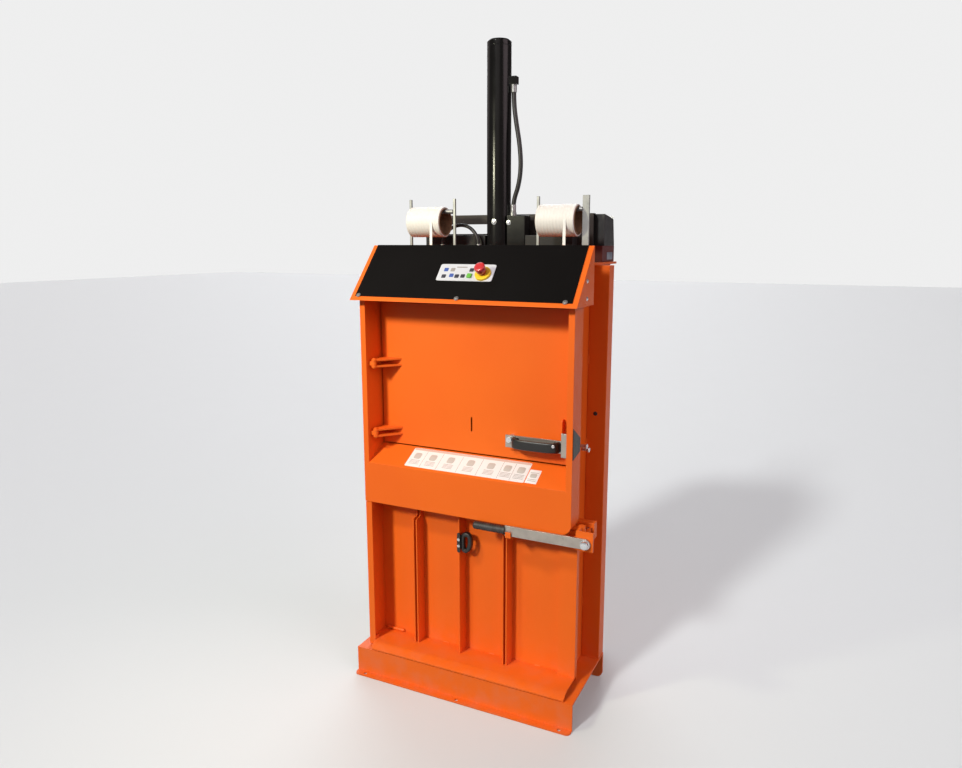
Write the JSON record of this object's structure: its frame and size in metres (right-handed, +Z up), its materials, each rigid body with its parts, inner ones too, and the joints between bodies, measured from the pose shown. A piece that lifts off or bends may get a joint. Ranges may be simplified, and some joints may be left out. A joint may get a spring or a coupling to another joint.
{
  "type": "upright recycling baler",
  "caption": "Slim upright press with a hinged loading door above a hinged bale door, a sloped control hood, strap rolls and a tall hydraulic cylinder on top.",
  "frame": {"origin": "on the floor, at the centre of the middle hole in the front foot flange", "axes": "+X to the machine's right as seen from the front, +Y towards the back, +Z up"},
  "size_m": [0.909, 0.577, 2.31],
  "materials": {
    "orange_paint": "satin",
    "black_paint": "satin",
    "gloss_black_paint": "gloss",
    "dark_red_paint": "satin",
    "dark_grey_paint": "satin",
    "zinc": "satin",
    "bright_steel": "polished",
    "grey_steel": "satin",
    "black_plastic": "matte",
    "grip_rubber": "matte",
    "hose_rubber": "satin",
    "strap_white": "matte",
    "panel_film": "matte",
    "red_plastic": "gloss",
    "yellow_plastic": "gloss",
    "green_plastic": "gloss"
  },
  "bodies": {
    "frame": {"base_front": "orange_paint", "base_plate": "orange_paint", "foot_plates": "orange_paint", "column_left": "orange_paint", "column_right": "orange_paint", "chamber_side_left": "orange_paint", "chamber_side_right": "orange_paint", "chamber_rear": "orange_paint", "chamber_floor": "orange_paint", "chamber_roof": "orange_paint", "jamb_left": "orange_paint", "jamb_right": "orange_paint", "shelf_beam": "orange_paint", "hood_shell": "orange_paint", "console_panel": "black_paint", "control_label": "panel_film", "stop_collar": "yellow_plastic", "door_knuckle_upper": "orange_paint", "door_knuckle_lower": "orange_paint", "catch_plate": "zinc", "jamb_cover": "black_plastic", "bale_hinge_pins": "grey_steel", "lock_striker": "orange_paint", "cylinder_tube": "gloss_black_paint", "cylinder_cap": "gloss_black_paint", "valve_block": "black_paint", "yoke_arms": "black_paint", "rear_screen": "dark_grey_paint", "rear_housing": "dark_red_paint", "rear_cover": "black_plastic", "power_pack": "black_paint", "roll_stand_left": "zinc", "roll_stand_right": "zinc", "strap_tail_left": "strap_white", "strap_tail_right": "strap_white", "cylinder_hose": "hose_rubber", "hood_hose": "hose_rubber", "hose_fittings": "grey_steel"},
    "loading_door": {"loading_door_panel": "orange_paint", "door_hinge_upper": "orange_paint", "door_hinge_lower": "orange_paint", "latch_stud": "grey_steel"},
    "latch": {"latch_bar": "zinc", "latch_grip": "black_plastic"},
    "bale_door": {"bale_door_tray": "orange_paint", "rib_left": "orange_paint", "rib_middle": "orange_paint", "rib_right": "orange_paint", "pull_handle": "black_plastic", "lever_hook": "orange_paint", "lock_bracket": "orange_paint"},
    "lever": {"lock_lever": "zinc", "lock_grip": "grip_rubber"},
    "press": {"press_plate": "dark_grey_paint", "piston_rod": "bright_steel"},
    "roll_left": {"strap_roll_left": "strap_white"},
    "roll_right": {"strap_roll_right": "strap_white"},
    "stop": {"stop_button": "red_plastic"},
    "key": {"start_key": "green_plastic"}
  },
  "joints": [
    {"name": "loading_door_hinge", "type": "hinge", "parent": "frame", "child": "loading_door", "pos_m": [-0.362, 0.074, 1.0625], "axis": [0, 0, -1], "range_deg": [0, 110]},
    {"name": "latch_pivot", "type": "hinge", "parent": "loading_door", "child": "latch", "pos_m": [0.152, 0.116, 0.958], "axis": [0, -1, 0], "range_deg": [0, 20]},
    {"name": "bale_door_hinge", "type": "hinge", "parent": "frame", "child": "bale_door", "pos_m": [-0.386, 0.063, 0.385], "axis": [0, 0, -1], "range_deg": [0, 150]},
    {"name": "lever_pivot", "type": "hinge", "parent": "bale_door", "child": "lever", "pos_m": [0.455, 0.033, 0.665], "axis": [0, 1, 0], "range_deg": [0, 80]},
    {"name": "press_stroke", "type": "slide", "parent": "frame", "child": "press", "axis": [0, 0, 1], "range_m": [-0.65, 0]},
    {"name": "left_roll_turn", "type": "hinge", "parent": "frame", "child": "roll_left", "pos_m": [-0.221, 0.239, 1.691], "axis": [1, 0, 0], "continuous": true},
    {"name": "right_roll_turn", "type": "hinge", "parent": "frame", "child": "roll_right", "pos_m": [0.274, 0.239, 1.691], "axis": [1, 0, 0], "continuous": true},
    {"name": "stop_push", "type": "slide", "parent": "frame", "child": "stop", "axis": [0, -0.7536, 0.6574], "range_m": [-0.006, 0], "stiffness_N_per_m": 3000},
    {"name": "key_push", "type": "slide", "parent": "frame", "child": "key", "axis": [0, -0.7536, 0.6574], "range_m": [-0.0006, 0], "stiffness_N_per_m": 3000}
  ]
}
